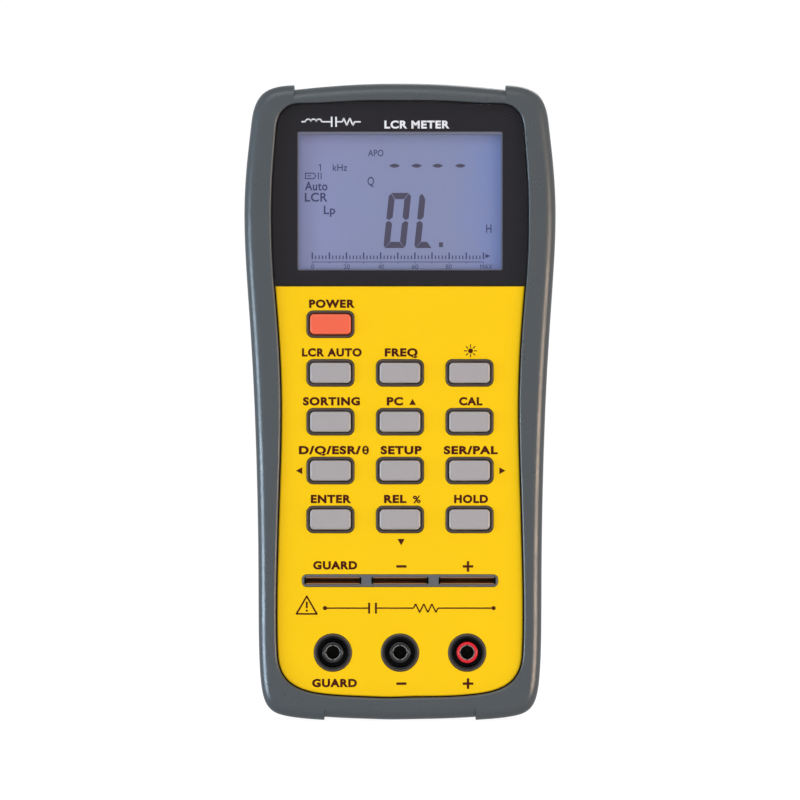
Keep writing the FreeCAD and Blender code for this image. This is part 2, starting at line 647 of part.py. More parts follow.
def lead(points, radius=0.7):
    """Insulated wire along a route."""
    path = rounded_route(points)
    first = path.Edges[0]
    direction = first.tangentAt(first.FirstParameter)
    section = Part.Wire(Part.makeCircle(radius, V(*points[0]), direction))
    return path.makePipeShell([section], True, False)


RED_LEAD = [(24.3, 14.5, 34.0), (28.5, 14.5, 34.0), (32.5, 11.0, 36.0), (33.0, 5.0, 40.0),
            (32.0, -2.0, 43.0), (28.0, -7.0, 44.0), (28.0, -13.0, 44.0)]
BLACK_LEAD = [(24.3, 11.5, 31.0), (28.5, 11.5, 31.0), (32.5, 8.0, 32.0), (33.0, 2.0, 34.5),
              (32.0, -4.0, 36.0), (28.0, -8.0, 37.0), (28.0, -13.0, 37.0)]


# ---------------------------------------------------------------- back
def battery_door():
    """Cover of the battery bay with two screw holes and a locating rib."""
    width = 2 * DOOR_X
    middle = sum(DOOR_Z) / 2
    door = rounded_block(0, middle, width, DOOR_Z[1] - DOOR_Z[0], 1.5, DOOR_Y + 0.05, BACK_Y)
    door = rounded_at(door, BACK_Y, 0.5)
    rib = box((-20.0, 20.0), (DOOR_Y - 0.7, DOOR_Y + 0.1), (BAY_Z[0] + 0.3, BAY_Z[0] + 1.3))
    removals = []
    for x, z in DOOR_SCREWS:
        removals.append(rod(x, z, 1.35, 20, 30))
        removals.append(rod(x, z, 2.5, DOOR_Y + 1.0, 30))
    for index in range(6):
        z = 22.0 + 2.6 * index
        removals.append(rounded_block(0, z, 22.0, 1.1, 0.5, BACK_Y - 0.5, 30))
    return door.fuse(rib).cut(removals)


def battery_door_screws():
    """Two captive screws of the battery door."""
    return Part.makeCompound([
        screw(x, z, 1.1, 2.2, DOOR_Y + 1.02, 0.9, 17.0) for x, z in DOOR_SCREWS
    ])


def tilt_stand():
    """Flat prop that swings out of the back on two moulded pins."""
    low, high = STAND_Z
    width = 2 * STAND_X
    blade = rounded_block(0, (low + high) / 2, width, high - low, 1.8, *STAND_Y)
    blade = rounded_at(blade, STAND_Y[1], 0.5)
    window = rounded_block(0, 107.0, 36.0, 50.0, 4.0, 20, 30)
    grip = rounded_block(0, low, 15.0, 4.4, 2.1, 20, 30)
    blade = blade.cut([window, grip])
    barrel = Part.makeCylinder(HINGE_R, width, V(-STAND_X, HINGE_Y, high), V(1, 0, 0))
    pins = Part.makeCylinder(HINGE_PIN_R, width + 2 * HINGE_PIN_LENGTH,
                             V(-STAND_X - HINGE_PIN_LENGTH, HINGE_Y, high), V(1, 0, 0))
    return blade.fuse([barrel, pins]).removeSplitter()


# ---------------------------------------------------------------- all parts
def build():
    parts = {
        "front_case": front_case(), "face_panel": face_panel(), "bumper": bumper(), "rear_case": rear_case(),
        "display_lens": display_lens(), "display_mask": display_mask(), "lcd_glass": lcd_glass(),
        "backlight_plate": backlight_plate(), "zebra_strip": zebra_strip(), "lcd_frame": lcd_frame(),
        "keypad_mat": keypad_mat(), "key_contact_pads": key_contact_pads(), "slot_frame": slot_frame(),
        "main_board": main_board(), "measuring_chip": flat_chip(0.0, 84.0, 14.0, 16),
        "converter_chip": flat_chip(0.0, 126.0, 10.0, 11), "crystal": crystal(), "capacitors": capacitors(),
        "range_resistors": range_resistors(), "small_components": small_components(), "buzzer": buzzer(),
        "case_screws": case_screws(), "board_screws": board_screws(), "power_socket": power_socket(),
        "link_window": link_window(), "link_diodes": link_diodes(), "battery": battery(),
        "battery_snap": battery_snap(), "battery_lead_red": lead(RED_LEAD),
        "battery_lead_black": lead(BLACK_LEAD), "battery_door": battery_door(),
        "battery_door_screws": battery_door_screws(), "tilt_stand": tilt_stand(),
    }
    for name, x, z in keys():
        parts[name] = key(x, z)
    for name, x in jacks():
        parts["slot_contacts_" + name] = slot_contacts(x)
        parts["jack_shroud_" + name] = jack_shroud(x)
        parts["jack_sleeve_" + name] = jack_sleeve(x)
        parts["jack_contact_" + name] = jack_contact(x)
    return parts


def main():
    os.makedirs("parts", exist_ok=True)
    parts = build()
    for name, shape in sorted(parts.items()):
        assert shape.isValid() and shape.Volume > 0, name
        shape.exportStep(f"parts/{name}.step")
    print(len(parts), "parts")


main()
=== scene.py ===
"""Looks of a handheld LCR meter: materials, printed legends, display picture, stage, light and camera."""
import json
import math

import bmesh
import bpy
from mathutils import Matrix, Vector


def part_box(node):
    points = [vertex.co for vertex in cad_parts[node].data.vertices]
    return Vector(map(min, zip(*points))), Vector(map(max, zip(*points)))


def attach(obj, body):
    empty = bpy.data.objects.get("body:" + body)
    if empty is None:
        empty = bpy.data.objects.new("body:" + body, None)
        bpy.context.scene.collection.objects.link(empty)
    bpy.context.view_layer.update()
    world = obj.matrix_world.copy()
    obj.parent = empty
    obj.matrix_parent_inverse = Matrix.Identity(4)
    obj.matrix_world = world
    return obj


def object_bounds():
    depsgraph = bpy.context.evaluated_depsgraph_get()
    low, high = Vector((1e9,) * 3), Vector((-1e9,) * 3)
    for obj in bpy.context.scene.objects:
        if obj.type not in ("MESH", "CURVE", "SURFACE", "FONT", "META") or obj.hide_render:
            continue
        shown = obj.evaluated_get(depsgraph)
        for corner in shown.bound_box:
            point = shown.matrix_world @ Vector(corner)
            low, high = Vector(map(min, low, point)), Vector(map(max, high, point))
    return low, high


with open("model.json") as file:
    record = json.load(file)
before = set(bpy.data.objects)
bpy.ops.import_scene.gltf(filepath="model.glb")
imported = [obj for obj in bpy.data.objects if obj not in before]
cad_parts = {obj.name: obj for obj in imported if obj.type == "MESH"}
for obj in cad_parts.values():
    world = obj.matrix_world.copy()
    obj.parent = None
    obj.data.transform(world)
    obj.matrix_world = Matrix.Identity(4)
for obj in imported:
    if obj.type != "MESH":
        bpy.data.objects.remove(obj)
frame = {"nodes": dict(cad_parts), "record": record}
cad_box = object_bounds()
nodes = frame["nodes"]

MM = 0.001
BODY = "meter_body"
INK_THICKNESS = 0.02 * MM

# Front planes of what is printed on or fades with depth, read from the model.
PANEL_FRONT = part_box("face_panel")[0].y
MASK_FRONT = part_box("display_mask")[0].y
GLASS_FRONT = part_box("lcd_glass")[0].y
CONTACT_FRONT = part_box("jack_contact_guard")[0].y

# Sockets that a Mix node uses for colours.
MIX_FACTOR, MIX_FIRST, MIX_SECOND, MIX_RESULT = 0, 6, 7, 2


# ---------------------------------------------------------------- material helpers
def linear(red, green, blue):
    """Linear colour from 0-255 display values."""
    def channel(value):
        value /= 255
        return value / 12.92 if value <= 0.04045 else ((value + 0.055) / 1.055) ** 2.4
    return (channel(red), channel(green), channel(blue), 1.0)


def scaled(colour, factor):
    """Colour made darker or lighter by a factor."""
    return tuple(min(1.0, part * factor) for part in colour[:3]) + (1.0,)


class Shader:
    """A node material built up step by step. Values that vary come from places on the object."""

    def __init__(self, name):
        self.name = name
        self.material = bpy.data.materials.new(name)
        self.material.use_nodes = True
        self.tree = self.material.node_tree
        self.tree.nodes.clear()
        self.output = self.add("ShaderNodeOutputMaterial")
        self.position = self.add("ShaderNodeTexCoord").outputs["Object"]

    def add(self, kind, values=None, **properties):
        """Add a node and set its properties and plain input values."""
        node = self.tree.nodes.new(kind)
        for key, value in properties.items():
            setattr(node, key, value)
        for key, value in (values or {}).items():
            node.inputs[key].default_value = value
        return node

    def feed(self, value, socket):
        """Link an input to another node's output, or set it when the value is a plain one."""
        if isinstance(value, bpy.types.NodeSocket):
            self.tree.links.new(value, socket)
        else:
            socket.default_value = value

    def along(self, axis):
        """Place along one axis of the object."""
        parts = self.add("ShaderNodeSeparateXYZ")
        self.feed(self.position, parts.inputs["Vector"])
        return parts.outputs[axis]

    def noise(self, scale, detail=2.0, roughness=0.5):
        """Cloudy value between 0 and 1, with the given number of clouds per metre."""
        node = self.add("ShaderNodeTexNoise", {"Scale": scale, "Detail": detail, "Roughness": roughness})
        self.feed(self.position, node.inputs["Vector"])
        return node.outputs["Fac"]

    def blend(self, amount, first, second):
        """Mix two colours, from all of the first at 0 to all of the second at 1."""
        node = self.add("ShaderNodeMix", data_type="RGBA")
        self.feed(amount, node.inputs[MIX_FACTOR])
        self.feed(first, node.inputs[MIX_FIRST])
        self.feed(second, node.inputs[MIX_SECOND])
        return node.outputs[MIX_RESULT]

    def spread(self, source, low, high, start=0.3, end=0.7):
        """Turn a value that runs from start to end into one that runs from low to high."""
        limits = {"From Min": start, "From Max": end, "To Min": low, "To Max": high}
        node = self.add("ShaderNodeMapRange", limits)
        self.feed(source, node.inputs["Value"])
        return node.outputs["Result"]

    def painted_shade_by_depth(self, tone, colour, start, reach, factor):
        """Painted shade: fade a tone to a dark one over a stretch of y, standing in for the shade that falls
        in a deep gap.
        """
        depth = self.spread(self.along("Y"), 0.0, 1.0, start, start + reach)
        return self.blend(depth, tone, scaled(colour, factor))

    def bump(self, source, distance):
        """Surface relief of the given height in metres."""
        node = self.add("ShaderNodeBump", {"Distance": distance})
        self.feed(source, node.inputs["Height"])
        return node.outputs["Normal"]

    def principled(self, colour, roughness, normal=None, **values):
        """Main surface shader. Underscores in further input names stand for spaces."""
        node = self.add("ShaderNodeBsdfPrincipled", {key.replace("_", " "): v for key, v in values.items()})
        self.feed(colour, node.inputs["Base Color"])
        self.feed(roughness, node.inputs["Roughness"])
        if normal:
            self.feed(normal, node.inputs["Normal"])
        return node

    def finish(self, shader):
        """Join the last shader to the output and hand over the asked name with the material."""
        self.feed(shader, self.output.inputs["Surface"])
        return self.name, self.material


# ---------------------------------------------------------------- materials
def moulded(name, colour, roughness=0.45, grain=2200.0, depth=0.012, variation=0.06, painted_shade_from=None,
            **values):
    """Moulded plastic or rubber: fine grain, cloudy colour, uneven gloss, and painted shade behind a given
    y.

    The grain is in bumps per metre and its depth in millimetres.
    """
    shader = Shader(name)
    cloud = shader.noise(38.0, 3.0, 0.6)
    tone = shader.blend(cloud, scaled(colour, 1 - variation), scaled(colour, 1 + variation))
    # Painted shade: behind the given y the colour fades to dark, where gaps lie in shade.
    if painted_shade_from is not None:
        tone = shader.painted_shade_by_depth(tone, colour, painted_shade_from, reach=0.5 * MM, factor=0.08)
    smear = shader.noise(90.0, 4.0, 0.65)
    gloss = shader.spread(smear, roughness - 0.06, roughness + 0.06)
    normal = shader.bump(shader.noise(grain, 2.0, 0.55), depth * MM)
    node = shader.principled(tone, gloss, normal, **values)
    return shader.finish(node.outputs["BSDF"])


def printed(name, colour, roughness=0.5):
    """Screen-printed ink with a faintly uneven film."""
    shader = Shader(name)
    film = shader.noise(900.0, 3.0, 0.6)
    tone = shader.blend(film, scaled(colour, 0.9), scaled(colour, 1.1))
    normal = shader.bump(film, 0.004 * MM)
    node = shader.principled(tone, roughness, normal, Specular_IOR_Level=0.15)
    return shader.finish(node.outputs["BSDF"])


def metal(name, colour, roughness, painted_shade_from=None):
    """Metal with fine scratches, and painted shade deeper than a given y."""
    shader = Shader(name)
    scratches = shader.noise(1500.0, 3.0, 0.6)
    tone = shader.blend(scratches, scaled(colour, 0.85), scaled(colour, 1.08))
    # Painted shade: deeper than the given y the colour fades nearly to black, where a bore lies in shade.
    if painted_shade_from is not None:
        tone = shader.painted_shade_by_depth(tone, colour, painted_shade_from, reach=2.0 * MM, factor=0.03)
    gloss = shader.spread(scratches, roughness - 0.08, roughness + 0.1)
    normal = shader.bump(scratches, 0.003 * MM)
    node = shader.principled(tone, gloss, normal, Metallic=1.0)
    return shader.finish(node.outputs["BSDF"])


def clear_window(name):
    """Clear plastic: see-through with a polished outer surface and no mirror effect from inside."""
    shader = Shader(name)
    gloss = shader.spread(shader.noise(260.0, 4.0, 0.7), 0.03, 0.07)
    fresnel = shader.add("ShaderNodeFresnel", {"IOR": 1.36})
    geometry = shader.add("ShaderNodeNewGeometry")
    outside = shader.spread(geometry.outputs["Backfacing"], 1.0, 0.0, 0.0, 1.0)
    share = shader.add("ShaderNodeMath", operation="MULTIPLY")
    shader.feed(fresnel.outputs["Fac"], share.inputs[0])
    shader.feed(outside, share.inputs[1])
    clear = shader.add("ShaderNodeBsdfTransparent", {"Color": (0.96, 0.965, 0.98, 1.0)})
    shine = shader.add("ShaderNodeBsdfGlossy")
    shader.feed(gloss, shine.inputs["Roughness"])
    mix = shader.add("ShaderNodeMixShader")
    shader.feed(share.outputs["Value"], mix.inputs["Fac"])
    shader.feed(clear.outputs["BSDF"], mix.inputs[1])
    shader.feed(shine.outputs["BSDF"], mix.inputs[2])
    return shader.finish(mix.outputs["Shader"])


def display_surface(name):
    """Switched-on display: blue-grey, bluer towards the right end, with a fine cell pattern. Painted shade
    makes it lighter near the left end and darker at both ends, and it gives off a faint painted glow.
    """
    shader = Shader(name)
    low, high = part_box("lcd_glass")
    # Painted shade along x: lighter near the left end, darker at both ends.
    ramp = shader.add("ShaderNodeValToRGB")
    stops = [
        (0.0, linear(121, 131, 174)), (0.14, linear(132, 141, 180)), (0.45, linear(123, 135, 166)),
        (0.72, linear(122, 135, 167)), (0.93, linear(104, 130, 187)), (1.0, linear(91, 118, 183)),
    ]
    elements = ramp.color_ramp.elements
    elements[0].position, elements[0].color = stops[0]
    elements[1].position, elements[1].color = stops[-1]
    for place, colour in stops[1:-1]:
        elements.new(place).color = colour
    shader.feed(shader.spread(shader.along("X"), 0.0, 1.0, low.x, high.x), ramp.inputs["Fac"])
    tone = shader.blend(shader.noise(55.0), ramp.outputs["Color"], linear(129, 131, 164))
    normal = shader.bump(shader.noise(2600.0, 1.0), 0.002 * MM)
    # Painted glow: the display gives off a little light in its own colour.
    node = shader.principled(tone, 0.35, normal, Emission_Strength=0.25)
    shader.feed(tone, node.inputs["Emission Color"])
    return shader.finish(node.outputs["BSDF"])


def board_material(name):
    """Green solder mask with the look of traces under it."""
    shader = Shader(name)
    cells = shader.add("ShaderNodeTexVoronoi", {"Scale": 420.0}, distance="MANHATTAN")
    shader.feed(shader.position, cells.inputs["Vector"])
    lines = shader.spread(cells.outputs["Distance"], 0.0, 1.0, 0.25, 0.3)
    tone = shader.blend(lines, (0.012, 0.10, 0.045, 1.0), (0.03, 0.17, 0.07, 1.0))
    normal = shader.bump(lines, 0.02 * MM)
    node = shader.principled(tone, 0.32, normal)
    return shader.finish(node.outputs["BSDF"])


def battery_material(name):
    """Steel jacket in two plain bands, a dark one and a light one."""
    shader = Shader(name)
    low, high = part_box("battery")
    length = high.x - low.x
    edge = low.x + 0.62 * length
    band = shader.spread(shader.along("X"), 0.0, 1.0, edge, edge + 0.005 * length)
    tone = shader.blend(band, (0.02, 0.02, 0.022, 1.0), (0.55, 0.33, 0.12, 1.0))
    gloss = shader.spread(shader.noise(1200.0, 3.0), 0.25, 0.4)
    node = shader.principled(tone, gloss, Metallic=0.6)
    return shader.finish(node.outputs["BSDF"])


def stage_material(name):
    """Pale, faintly cloudy and lit from within, so that it stays even behind the meter."""
    shader = Shader(name)
    tone = shader.blend(shader.noise(1.5), (0.14, 0.14, 0.14, 1.0), (0.16, 0.16, 0.16, 1.0))
    node = shader.principled(tone, 0.9, Emission_Color=(1.0, 1.0, 1.0, 1.0), Emission_Strength=0.94,
                             Specular_IOR_Level=0.1)
    return shader.finish(node.outputs["BSDF"])


def make_materials():
    """Every finish by name: the record's slots, then the inks, the display's surround and the stage."""
    panel_yellow = (0.93, 0.585, 0.0, 1.0)
    head_black = (0.019, 0.0165, 0.02, 1.0)
    finishes = [
        moulded("rim_rubber", linear(74, 80, 84), 0.31, 2600.0, 0.004, 0.05, Specular_IOR_Level=0.5),
        moulded("case_plastic", linear(78, 82, 85), 0.42, 1900.0, 0.008),
        # Front plastic: painted shade behind the panel's front, in the gaps round the keys.
        moulded("front_plastic", linear(74, 63, 57), 0.42, 1900.0, 0.005, 0.06, PANEL_FRONT + 0.1 * MM),
        moulded("panel_yellow", panel_yellow, 0.38, 2400.0, 0.008, 0.025, Specular_IOR_Level=0.22),
        clear_window("clear_window"),
        moulded("black_print", head_black, 0.6, 60.0, 0.0002, Specular_IOR_Level=0.05),
        display_surface("display_glass"),
        moulded("white_plastic", linear(235, 238, 240), 0.4),
        moulded("contact_rubber", linear(125, 125, 128), 0.6),
        moulded("black_plastic", linear(30, 30, 32), 0.38, 1500.0, 0.01),
        moulded("mat_rubber", linear(160, 160, 165), 0.55),
        metal("gold_contact", (0.85, 0.6, 0.22, 1.0), 0.28),
        moulded("slot_plastic", linear(92, 95, 100), 0.4),
        board_material("board_green"),
        moulded("chip_black", linear(34, 34, 36), 0.5),
        metal("bright_metal", (0.72, 0.72, 0.74, 1.0), 0.25),
        moulded("capacitor_sleeve", linear(30, 38, 92), 0.3),
        moulded("ceramic_brown", linear(160, 125, 88), 0.5),
        metal("screw_metal", (0.5, 0.5, 0.52, 1.0), 0.32),
        moulded("dark_window", linear(34, 8, 12), 0.12, 600.0, 0.002),
        moulded("diode_clear", linear(90, 95, 120), 0.12, 600.0, 0.002),
        battery_material("battery_jacket"),
        moulded("lead_red", linear(190, 20, 18), 0.35),
        moulded("lead_black", linear(26, 26, 27), 0.35),
        moulded("stand_plastic", linear(70, 74, 77), 0.42, 1700.0, 0.008),
        moulded("key_red", linear(240, 100, 68), 0.36, 2400.0, 0.008, 0.03, Specular_IOR_Level=0.55),
        moulded("key_grey", linear(166, 162, 164), 0.36, 2400.0, 0.008, 0.03, Specular_IOR_Level=0.55),
        metal("contact_bronze", (0.62, 0.36, 0.18, 1.0), 0.35),
        moulded("jack_red", linear(220, 24, 38), 0.28, 1200.0, 0.006),
        moulded("jack_black", linear(28, 28, 30), 0.3, 1200.0, 0.006),
        # Jack contacts: painted shade deeper in the bore.
        metal("nickel_contact", (0.5, 0.48, 0.44, 1.0), 0.32, painted_shade_from=CONTACT_FRONT + 0.6 * MM),
        printed("legend_ink", linear(72, 18, 3)),
        printed("white_ink", (0.95, 0.95, 0.96, 1.0)),
        printed("segment_dark", linear(84, 80, 100), 0.4),
        printed("segment_fine", linear(70, 74, 112), 0.4),
        moulded("surround_grey", linear(120, 122, 138), 0.45),
        stage_material("stage_pale"),
    ]
    return dict(finishes)


def dress_nodes(materials):
    """Give every CAD node the finish of its slot."""
    for subpart in frame["record"]["subparts"]:
        node = nodes[subpart["node"]]
        material = materials[subpart["material_slot"]]
        if not node.material_slots:
            node.data.materials.append(material)
        for slot in node.material_slots:
            slot.material = material


# ---------------------------------------------------------------- adding things to the scene
def add_object(name, data):
    """Put new data in the scene as an object."""
    holder = bpy.data.objects.new(name, data)
    bpy.context.scene.collection.objects.link(holder)
    return holder


def add_piece(name, mesh, material):
    """Add a visual piece with one material, fixed to the body."""
    mesh.materials.clear()
    mesh.materials.append(material)
    piece = add_object(name, mesh)
    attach(piece, BODY)


def mesh_of(form, name):
    """Turn a bmesh into a mesh."""
    mesh = bpy.data.meshes.new(name)
    form.to_mesh(mesh)
    form.free()
    return mesh


def bridge(form, first, second):
    """Join two closed rings of corners with a band of faces."""
    for index in range(len(first)):
        following = (index + 1) % len(first)
        form.faces.new((first[index], first[following], second[following], second[index]))


# ---------------------------------------------------------------- printing
TEXT_HALF_DEPTH = 0.01


def place_print(name, mesh, material, y):
    """Turn a mesh drawn in x and y to stand on the face at depth y, and fix it to the body."""
    upright = Matrix.Rotation(math.radians(90), 4, "X")
    mesh.transform(Matrix.Translation((0, y - INK_THICKNESS / 2, 0)) @ upright)
    add_piece(name, mesh, material)


def text_mesh(words, weight):
    """Filled outline of a word at size 1, baseline at zero."""
    curve = bpy.data.curves.new("words", "FONT")
    curve.body = words
    curve.offset = weight
    curve.space_character = 1.0 + 3.0 * weight
    curve.resolution_u = 6
    curve.extrude = TEXT_HALF_DEPTH
    holder = add_object("words", curve)
    bpy.context.view_layer.update()
    mesh = bpy.data.meshes.new_from_object(holder)
    bpy.data.objects.remove(holder)
    bpy.data.curves.remove(curve)
    return mesh


def extent(mesh, axis):
    """Lowest and highest value of a mesh along one axis."""
    values = [vertex.co[axis] for vertex in mesh.vertices]
    return min(values), max(values)


def print_words(name, words, left, right, baseline, height, y, material, weight):
    """Print a word between two x values, with capitals of the given height: millimetres, but y in metres."""
    mesh = text_mesh(words, weight)
    capital = text_mesh("H", weight)
    low, high = extent(mesh, 0)
    bottom, top = extent(capital, 1)
    bpy.data.meshes.remove(capital)
    across = (right - left) / (high - low)
    upward = height / (top - bottom)
    for vertex in mesh.vertices:
        x, z, depth = vertex.co
        vertex.co = (
            (left + (x - low) * across) * MM,
            (baseline + (z - bottom) * upward) * MM,
            depth / TEXT_HALF_DEPTH * INK_THICKNESS / 2,
        )
    place_print(name, mesh, material, y)


def print_shapes(name, outlines, y, material):
    """Print filled outlines, each a list of (x, z) in millimetres, as thin solid ink at y in metres."""
    form = bmesh.new()
    for outline in outlines:
        form.faces.new([form.verts.new((x * MM, z * MM, INK_THICKNESS / 2)) for x, z in outline])
    result = bmesh.ops.extrude_face_region(form, geom=list(form.faces))
    moved = [item for item in result["geom"] if isinstance(item, bmesh.types.BMVert)]
    bmesh.ops.translate(form, verts=moved, vec=(0, 0, -INK_THICKNESS))
    bmesh.ops.recalc_face_normals(form, faces=form.faces)
    place_print(name, mesh_of(form, name), material, y)


def rectangle(x0, x1, z0, z1):
    """Outline of a bar."""
    return [(x0, z0), (x1, z0), (x1, z1), (x0, z1)]


def stroke(points, width):
    """Straight bars along a line of points, one for each stretch."""
    bars = []
    for (x0, z0), (x1, z1) in zip(points, points[1:]):
        length = math.hypot(x1 - x0, z1 - z0)
        side_x = -(z1 - z0) / length * width / 2
        side_z = (x1 - x0) / length * width / 2
        bars.append([
            (x0 - side_x, z0 - side_z), (x1 - side_x, z1 - side_z),
            (x1 + side_x, z1 + side_z), (x0 + side_x, z0 + side_z),
        ])
    return bars


def around(x, z, radius, turn):
    """Point on a circle about a middle, at a turn in radians from the right."""
    return (x + radius * math.cos(turn), z + radius * math.sin(turn))


def disc(x, z, radius, sides=24):
    """Outline of a round dot."""
    return [around(x, z, radius, 2 * math.pi * k / sides) for k in range(sides)]


def half_loop(x, z, radius, steps=8):
    """Points of a half circle above a line, from its left end to its right end, without the first."""
    return [around(x, z, radius, math.pi * (1 - k / steps)) for k in range(1, steps + 1)]


def zigzag(start, first_peak, pitch, count, end, z, height):
    """Points of a resistor sign on a line at z, with peaks by turns above and below it."""
    peaks = [(first_peak + pitch * k, z + (height if k % 2 == 0 else -height)) for k in range(count)]
    return [(start, z)] + peaks + [(end, z)]


# ---------------------------------------------------------------- legends
# Millimetres, apart from the weights. Gaps, rises and drops start at the key or terminal they belong to.
CAPITAL = 2.45
LEGEND_WEIGHT = 0.052
PERCENT_HEIGHT = 2.2
PERCENT_WEIGHT = 0.03
KEY_LEGEND_GAP = 0.975
SLOT_LEGEND_GAP = 1.5
JACK_LEGEND_DROP = 10.2
SLOT_SIGN_RISE = 2.4
JACK_SIGN_DROP = 9.15
SIGN_LINE = 0.42

# Piece name, key, words, and how far the words' two ends are from the key's middle, in millimetres.
KEY_LEGENDS = [
    ("power", "key_power", "POWER", -6.3, 7.2),
    ("auto", "key_auto", "LCR AUTO", -8.4, 9.2),
    ("frequency", "key_frequency", "FREQ", -4.5, 5.2),
    ("sorting", "key_sorting", "SORTING", -8.1, 8.7),
    ("link", "key_link", "PC", -3.9, 0.9),
    ("calibrate", "key_calibrate", "CAL", -3.1, 3.8),
    ("quality", "key_quality", "D/Q/ESR/", -9.3, 9.0),
    ("setup", "key_setup", "SETUP", -5.7, 6.4),
    ("series", "key_series", "SER/PAL", -7.6, 8.3),
    ("enter", "key_enter", "ENTER", -5.8, 6.1),
    ("relative", "key_relative", "REL", -4.7, 1.9),
    ("percent", "key_relative", "%", 3.8, 6.1),
    ("hold", "key_hold", "HOLD", -4.55, 5.45),
]
# Arrow heads beside the keys that also move the cursor, each by its three corners.
LEGEND_ARROWS = [
    [(2.7, 93.1), (4.7, 93.1), (3.7, 94.9)],
    [(-28.8, 72.7), (-28.8, 74.7), (-30.7, 73.7)],
    [(29.3, 74.7), (29.3, 72.7), (31.1, 73.7)],
    [(1.35, 53.6), (-0.7, 53.6), (0.33, 51.7)],
]


def middle_x(node):
    """Middle of a node across the face, in millimetres."""
    low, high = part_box(node)
    return (low.x + high.x) / 2 / MM


def top_z(node):
    """Top end of a node, in millimetres."""
    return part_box(node)[1].z / MM


def jack_line():
    """Height of the middle of the jacks, in millimetres."""
    low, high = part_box("jack_sleeve_guard")
    return (low.z + high.z) / 2 / MM


def print_legend(ink, name, words, left, right, baseline):
    """Print one word or sign on the yellow panel. The percent sign is smaller and finer."""
    piece = "legend_" + name
    height, weight = (PERCENT_HEIGHT, PERCENT_WEIGHT) if words == "%" else (CAPITAL, LEGEND_WEIGHT)
    print_words(piece, words, left, right, baseline, height, PANEL_FRONT, ink, weight)


def polarity_signs(z):
    """Minus and plus signs over or under the terminals at the height z."""
    half = 0.36
    minus_x, minus_arm = middle_x("jack_sleeve_minus") + 0.4, 1.5
    plus_x, plus_arm = middle_x("jack_sleeve_plus") + 0.25, 1.55
    return [
        rectangle(minus_x - minus_arm, minus_x + minus_arm, z - half, z + half),
        rectangle(plus_x - plus_arm, plus_x + plus_arm, z - half, z + half),
        rectangle(plus_x - half, plus_x + half, z + half, z + plus_arm),
        rectangle(plus_x - half, plus_x + half, z - plus_arm, z - half),
    ]


def phase_sign():
    """Ring with a bar across it, after the words of the quality key."""
    x, z = -10.15, 79.78
    turns = [math.radians(15 * k) for k in range(25)]
    ring = [(x + 0.72 * math.cos(turn), z + 1.08 * math.sin(turn)) for turn in turns]
    return stroke(ring, 0.58) + [rectangle(x - 0.65, x + 0.65, z - 0.24, z + 0.24)]


def light_sign():
    """Dot with eight rays over the display light's key."""
    x, z = middle_x("key_light") + 0.3, top_z("key_light") + 2.675
    shapes = [disc(x, z, 0.72)]
    for index in range(8):
        turn = math.radians(45 * index)
        shapes += stroke([around(x, z, 0.98, turn), around(x, z, 1.9, turn)], 0.3)
    return shapes


def print_legends(materials):
    """Legends, arrows and signs of the keys and terminals."""
    ink = materials["legend_ink"]
    for name, key, words, left, right in KEY_LEGENDS:
        x = middle_x(key)
        print_legend(ink, name, words, x + left, x + right, top_z(key) + KEY_LEGEND_GAP)
    slots_top = top_z("slot_frame")
    guard_x = middle_x("jack_sleeve_guard")
    print_legend(ink, "guard_slot", "GUARD", guard_x - 5.8, guard_x + 7.2, slots_top + SLOT_LEGEND_GAP)
    print_legend(ink, "guard_jack", "GUARD", guard_x - 6.1, guard_x + 7.1, jack_line() - JACK_LEGEND_DROP)
    signs = polarity_signs(slots_top + SLOT_SIGN_RISE) + polarity_signs(jack_line() - JACK_SIGN_DROP)
    print_shapes("legend_signs", signs, PANEL_FRONT, ink)
    print_shapes("legend_arrows", LEGEND_ARROWS, PANEL_FRONT, ink)
    print_shapes("legend_phase", phase_sign(), PANEL_FRONT, ink)
    print_shapes("legend_light", light_sign(), PANEL_FRONT, ink)


def print_discharge_sign(materials):
    """Wordless sign above the jacks: a triangle, then a capacitor and a resistor in one line."""
    left, right, low, high = -30.5, -24.5, 31.5, 36.7
    middle = (left + right) / 2
    shapes = stroke([(left, low), (right, low), (middle, high), (left, low)], 0.5)
    shapes += [disc(x, z, 0.25, 12) for x, z in ((left, low), (right, low), (middle, high))]
    shapes.append(rectangle(middle - 0.28, middle + 0.28, low + 1.7, high - 1.6))
    shapes.append(disc(middle, low + 0.95, 0.34, 12))
    z, plate = 33.2, 1.6
    shapes += stroke([(-21.5, z), (-9.4, z)], SIGN_LINE)
    shapes += [rectangle(-9.4, -8.8, z - plate, z + plate), rectangle(-7.4, -6.8, z - plate, z + plate)]
    shapes += stroke([(-6.8, z), (4.0, z)], SIGN_LINE)
    shapes += stroke(zigzag(4.0, 4.6, 1.2, 6, 11.2, z, 1.25), SIGN_LINE)
    shapes += stroke([(11.2, z), (27.0, z)], SIGN_LINE)
    shapes += [disc(-22.1, z, 0.62), disc(27.6, z, 0.62)]
    print_shapes("legend_discharge", shapes, PANEL_FRONT, materials["legend_ink"])


